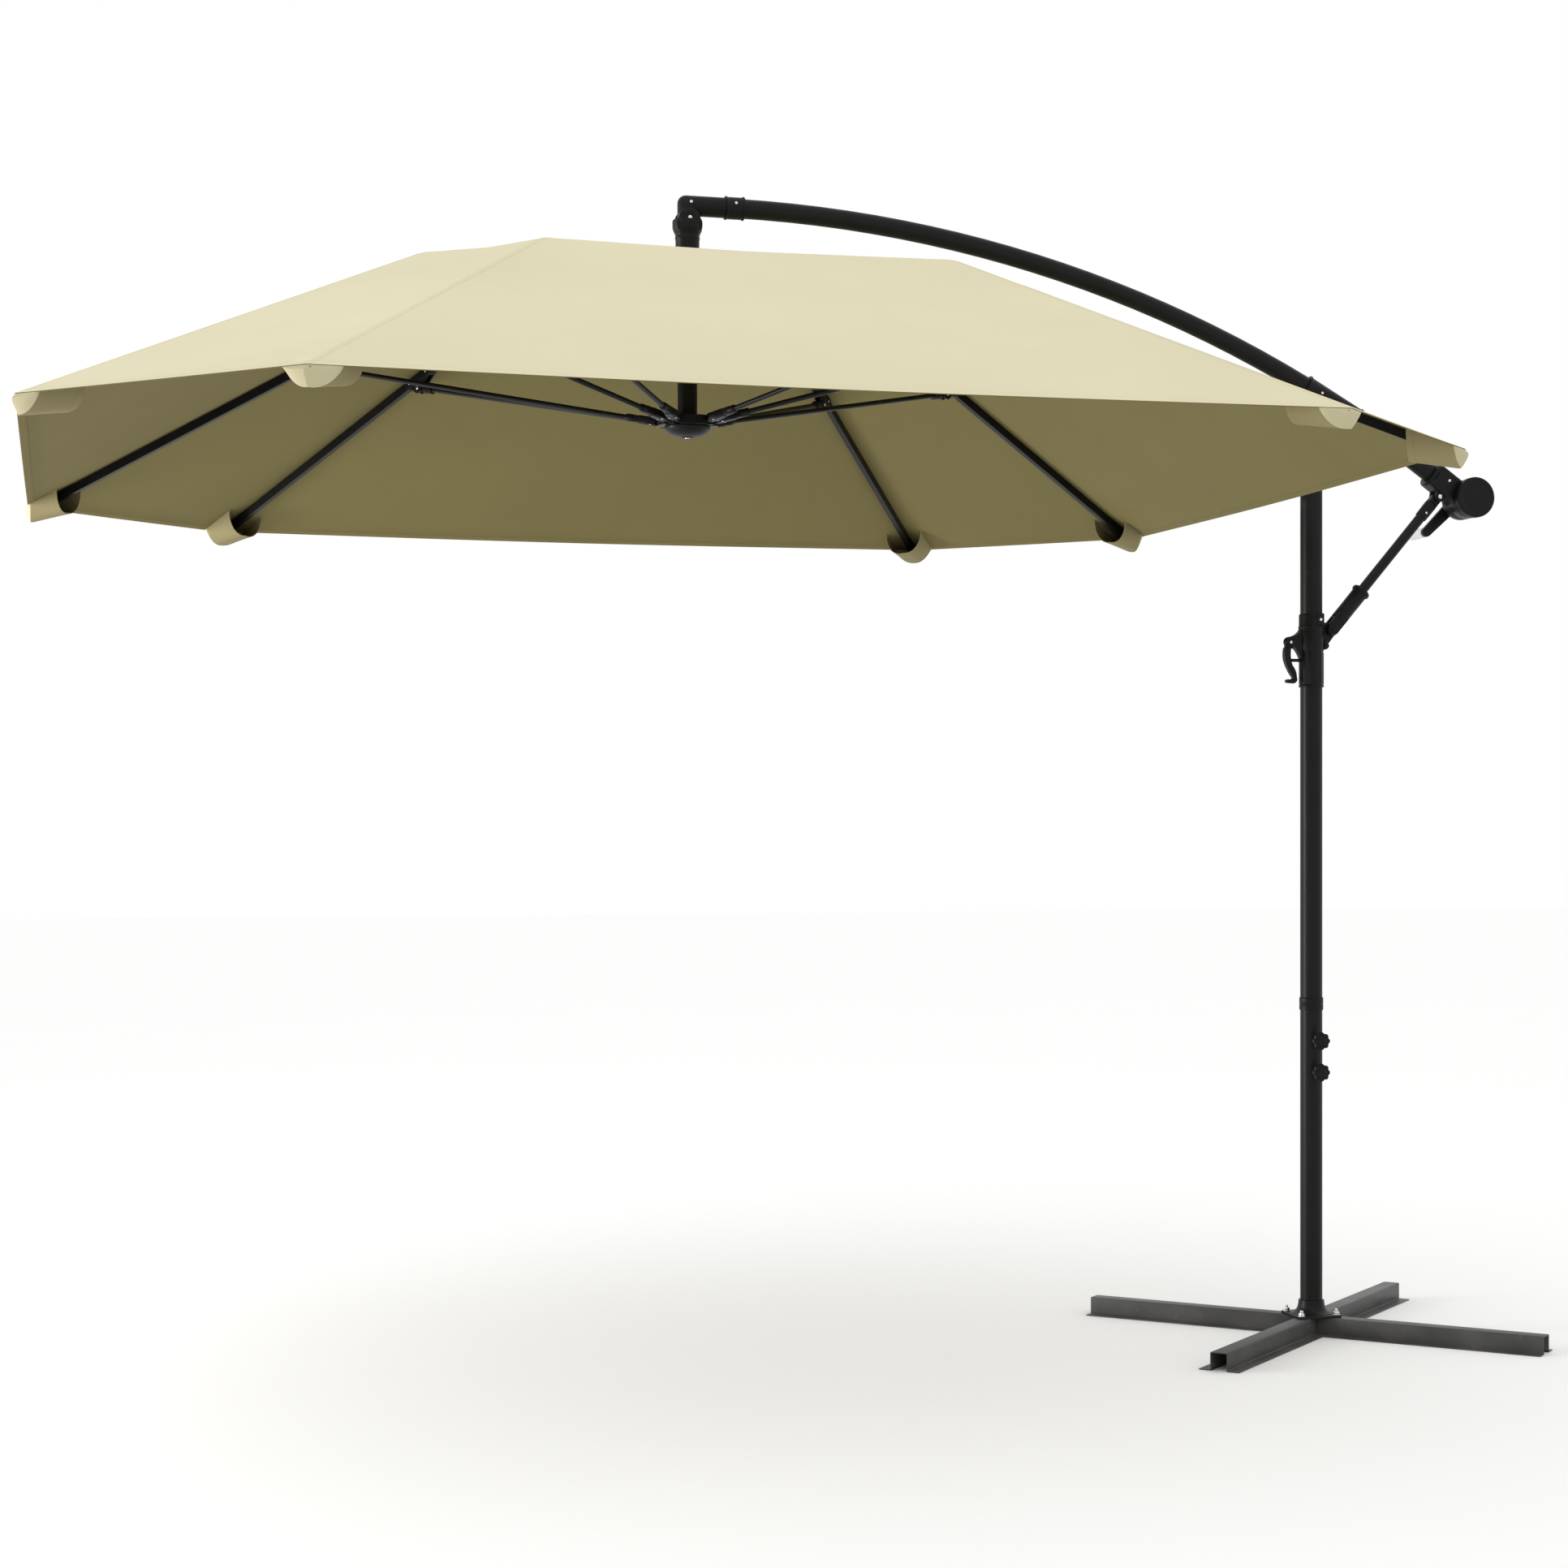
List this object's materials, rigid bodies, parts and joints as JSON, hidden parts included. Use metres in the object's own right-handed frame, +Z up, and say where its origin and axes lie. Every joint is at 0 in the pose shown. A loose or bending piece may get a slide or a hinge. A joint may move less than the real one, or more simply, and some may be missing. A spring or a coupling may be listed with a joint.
{
  "type": "cantilever parasol",
  "caption": "Cantilever garden parasol: a curved boom on a cross-based mast carries a folding square canopy with clipped corners, worked by a crank.",
  "frame": {"origin": "on the ground under the mast's axis, at the middle of the cross base", "axes": "+Z up the mast, +X along the boom away from the canopy, +Y to the crank's side"},
  "size_m": [3.1158, 2.6226, 2.3984],
  "materials": {
    "frame_paint": "satin black powder coat",
    "black_plastic": "moulded black plastic",
    "bright_steel": "bright plated fasteners",
    "grey_grip": "light grey moulded grip",
    "canopy_fabric": "cream woven polyester, olive in the shade",
    "cord": "braided black cord"
  },
  "bodies": {
    "base": {"cross_arm_long": "frame_paint", "cross_arm_halves": "frame_paint", "foot_flange": "frame_paint", "foot_bolts": "bright_steel", "lower_mast_tube": "frame_paint", "mast_joint_ring": "black_plastic"},
    "knob_upper": {"clamp_knob_upper": "black_plastic"},
    "knob_lower": {"clamp_knob_lower": "black_plastic"},
    "mast": {"upper_mast_tube": "frame_paint", "mast_head": "black_plastic", "boom_pivot_pin": "bright_steel"},
    "collar": {"slide_collar": "black_plastic", "collar_pins": "bright_steel"},
    "lever": {"latch_lever": "black_plastic"},
    "plunger": {"brake_plunger": "bright_steel"},
    "boom": {"boom_tube": "frame_paint", "boom_saddle": "black_plastic", "boom_elbow": "black_plastic", "boom_ring": "black_plastic", "winch_housing": "black_plastic", "winch_cap": "black_plastic", "boom_fasteners": "bright_steel", "lift_cord": "cord"},
    "strut": {"strut_socket": "black_plastic", "strut_tube": "frame_paint", "strut_fork": "black_plastic"},
    "crank": {"crank_arm": "black_plastic", "winch_spool": "black_plastic"},
    "grip": {"crank_grip": "grey_grip"},
    "head": {"head_knuckle": "black_plastic", "knuckle_bolts": "bright_steel", "crown_hub": "black_plastic", "crown_cap": "black_plastic"},
    "runner": {"centre_post": "frame_paint", "runner_hub": "black_plastic", "lift_cord_drop": "cord"},
    "rib_body_1": {"rib_1": "frame_paint", "canopy_panel_1": "canopy_fabric"},
    "strut_body_1": {"runner_strut_1": "frame_paint"},
    "rib_body_2": {"rib_2": "frame_paint", "canopy_panel_2": "canopy_fabric"},
    "strut_body_2": {"runner_strut_2": "frame_paint"},
    "rib_body_3": {"rib_3": "frame_paint", "canopy_panel_3": "canopy_fabric"},
    "strut_body_3": {"runner_strut_3": "frame_paint"},
    "rib_body_4": {"rib_4": "frame_paint", "canopy_panel_4": "canopy_fabric"},
    "strut_body_4": {"runner_strut_4": "frame_paint"},
    "rib_body_5": {"rib_5": "frame_paint", "canopy_panel_5": "canopy_fabric"},
    "strut_body_5": {"runner_strut_5": "frame_paint"},
    "rib_body_6": {"rib_6": "frame_paint", "canopy_panel_6": "canopy_fabric"},
    "strut_body_6": {"runner_strut_6": "frame_paint"},
    "rib_body_7": {"rib_7": "frame_paint", "canopy_panel_7": "canopy_fabric"},
    "strut_body_7": {"runner_strut_7": "frame_paint"},
    "rib_body_8": {"rib_8": "frame_paint", "canopy_panel_8": "canopy_fabric"},
    "strut_body_8": {"runner_strut_8": "frame_paint"}
  },
  "joints": [
    {"name": "mast_swivel", "type": "hinge", "parent": "base", "child": "mast", "pos_m": [0, 0, 0.716], "axis": [0, 0, 1], "continuous": true},
    {"name": "knob_upper_turn", "type": "hinge", "parent": "base", "child": "knob_upper", "pos_m": [0, -0.06, 0.638], "axis": [0, -1, 0], "range_deg": [0, 1080]},
    {"name": "knob_lower_turn", "type": "hinge", "parent": "base", "child": "knob_lower", "pos_m": [0, -0.06, 0.57], "axis": [0, -1, 0], "range_deg": [0, 1080]},
    {"name": "boom_tilt", "type": "hinge", "parent": "mast", "child": "boom", "pos_m": [0, 0, 1.985], "axis": [0, -1, 0], "range_deg": [0, 22]},
    {"name": "collar_slide", "type": "slide", "parent": "mast", "child": "collar", "axis": [0, 0, 1], "range_m": [0, 0.166]},
    {"name": "strut_swing", "type": "hinge", "parent": "boom", "child": "strut", "pos_m": [0.3, 0, 1.828], "axis": [0, -1, 0], "range_deg": [-31, 0]},
    {"name": "head_level", "type": "hinge", "parent": "boom", "child": "head", "pos_m": [-1.386, 0, 2.345], "axis": [0, -1, 0], "range_deg": [-22.5, 0]},
    {"name": "lever_pull", "type": "hinge", "parent": "collar", "child": "lever", "pos_m": [-0.051, 0, 1.502], "axis": [0, 1, 0], "range_deg": [0, 12], "stiffness_Nm_per_rad": 1.2, "springref_deg": -11.46},
    {"name": "plunger_slide", "type": "slide", "parent": "collar", "child": "plunger", "axis": [-1, 0, 0], "range_m": [0, 0.009]},
    {"name": "crank_turn", "type": "hinge", "parent": "boom", "child": "crank", "pos_m": [0.374, 0, 1.826], "axis": [0, 1, 0], "range_deg": [0, 4320]},
    {"name": "grip_spin", "type": "hinge", "parent": "crank", "child": "grip", "pos_m": [0.30207, 0.1, 1.75653], "axis": [0, 1, 0], "continuous": true},
    {"name": "rib_1_fold", "type": "hinge", "parent": "head", "child": "rib_body_1", "pos_m": [-1.34443, 0.02778, 2.235], "axis": [-0.5556, 0.8315, 0], "range_deg": [0, 72], "deforming": ["canopy_panel_1"]},
    {"name": "strut_1_fold", "type": "hinge", "parent": "rib_body_1", "child": "strut_body_1", "pos_m": [-0.69255, 0.46335, 2.0825], "axis": [-0.5556, 0.8315, 0], "range_deg": [-144.5, 0]},
    {"name": "rib_2_fold", "type": "hinge", "parent": "head", "child": "rib_body_2", "pos_m": [-1.35822, 0.04157, 2.235], "axis": [-0.8315, 0.5556, 0], "range_deg": [0, 72], "deforming": ["canopy_panel_2"]},
    {"name": "strut_2_fold", "type": "hinge", "parent": "rib_body_2", "child": "strut_body_2", "pos_m": [-0.92265, 0.69345, 2.0825], "axis": [-0.8315, 0.5556, 0], "range_deg": [-144.5, 0]},
    {"name": "rib_3_fold", "type": "hinge", "parent": "head", "child": "rib_body_3", "pos_m": [-1.41378, 0.04157, 2.235], "axis": [-0.8315, -0.5556, 0], "range_deg": [0, 72], "deforming": ["canopy_panel_3"]},
    {"name": "strut_3_fold", "type": "hinge", "parent": "rib_body_3", "child": "strut_body_3", "pos_m": [-1.84935, 0.69345, 2.0825], "axis": [-0.8315, -0.5556, 0], "range_deg": [-144.5, 0]},
    {"name": "rib_4_fold", "type": "hinge", "parent": "head", "child": "rib_body_4", "pos_m": [-1.42757, 0.02778, 2.235], "axis": [-0.5556, -0.8315, 0], "range_deg": [0, 72], "deforming": ["canopy_panel_4"]},
    {"name": "strut_4_fold", "type": "hinge", "parent": "rib_body_4", "child": "strut_body_4", "pos_m": [-2.07945, 0.46335, 2.0825], "axis": [-0.5556, -0.8315, 0], "range_deg": [-144.5, 0]},
    {"name": "rib_5_fold", "type": "hinge", "parent": "head", "child": "rib_body_5", "pos_m": [-1.42757, -0.02778, 2.235], "axis": [0.5556, -0.8315, 0], "range_deg": [0, 72], "deforming": ["canopy_panel_5"]},
    {"name": "strut_5_fold", "type": "hinge", "parent": "rib_body_5", "child": "strut_body_5", "pos_m": [-2.07945, -0.46335, 2.0825], "axis": [0.5556, -0.8315, 0], "range_deg": [-144.5, 0]},
    {"name": "rib_6_fold", "type": "hinge", "parent": "head", "child": "rib_body_6", "pos_m": [-1.41378, -0.04157, 2.235], "axis": [0.8315, -0.5556, 0], "range_deg": [0, 72], "deforming": ["canopy_panel_6"]},
    {"name": "strut_6_fold", "type": "hinge", "parent": "rib_body_6", "child": "strut_body_6", "pos_m": [-1.84935, -0.69345, 2.0825], "axis": [0.8315, -0.5556, 0], "range_deg": [-144.5, 0]},
    {"name": "rib_7_fold", "type": "hinge", "parent": "head", "child": "rib_body_7", "pos_m": [-1.35822, -0.04157, 2.235], "axis": [0.8315, 0.5556, 0], "range_deg": [0, 72], "deforming": ["canopy_panel_7"]},
    {"name": "strut_7_fold", "type": "hinge", "parent": "rib_body_7", "child": "strut_body_7", "pos_m": [-0.92265, -0.69345, 2.0825], "axis": [0.8315, 0.5556, 0], "range_deg": [-144.5, 0]},
    {"name": "rib_8_fold", "type": "hinge", "parent": "head", "child": "rib_body_8", "pos_m": [-1.34443, -0.02778, 2.235], "axis": [0.5556, 0.8315, 0], "range_deg": [0, 72], "deforming": ["canopy_panel_8"]},
    {"name": "strut_8_fold", "type": "hinge", "parent": "rib_body_8", "child": "strut_body_8", "pos_m": [-0.69255, -0.46335, 2.0825], "axis": [0.5556, 0.8315, 0], "range_deg": [-144.5, 0]},
    {"name": "runner_level", "type": "hinge", "parent": "strut_body_1", "child": "runner", "pos_m": [-1.34443, 0.02778, 1.93], "axis": [-0.5556, 0.8315, 0], "range_deg": [0, 72.5], "deforming": ["lift_cord_drop"]}
  ],
  "couplings": [
    {"joint": "collar_slide", "follows": "boom_tilt", "m_per_rad": 0.4245},
    {"joint": "strut_swing", "follows": "boom_tilt", "ratio": -1.3825},
    {"joint": "head_level", "follows": "boom_tilt", "ratio": -1},
    {"joint": "plunger_slide", "follows": "lever_pull", "m_per_rad": 0.039},
    {"joint": "crank_turn", "follows": "rib_1_fold", "ratio": 60},
    {"joint": "strut_1_fold", "follows": "rib_1_fold", "ratio": -2},
    {"joint": "rib_2_fold", "follows": "rib_1_fold", "ratio": 1},
    {"joint": "strut_2_fold", "follows": "rib_1_fold", "ratio": -2},
    {"joint": "rib_3_fold", "follows": "rib_1_fold", "ratio": 1},
    {"joint": "strut_3_fold", "follows": "rib_1_fold", "ratio": -2},
    {"joint": "rib_4_fold", "follows": "rib_1_fold", "ratio": 1},
    {"joint": "strut_4_fold", "follows": "rib_1_fold", "ratio": -2},
    {"joint": "rib_5_fold", "follows": "rib_1_fold", "ratio": 1},
    {"joint": "strut_5_fold", "follows": "rib_1_fold", "ratio": -2},
    {"joint": "rib_6_fold", "follows": "rib_1_fold", "ratio": 1},
    {"joint": "strut_6_fold", "follows": "rib_1_fold", "ratio": -2},
    {"joint": "rib_7_fold", "follows": "rib_1_fold", "ratio": 1},
    {"joint": "strut_7_fold", "follows": "rib_1_fold", "ratio": -2},
    {"joint": "rib_8_fold", "follows": "rib_1_fold", "ratio": 1},
    {"joint": "strut_8_fold", "follows": "rib_1_fold", "ratio": -2},
    {"joint": "runner_level", "follows": "rib_1_fold", "ratio": 1}
  ]
}
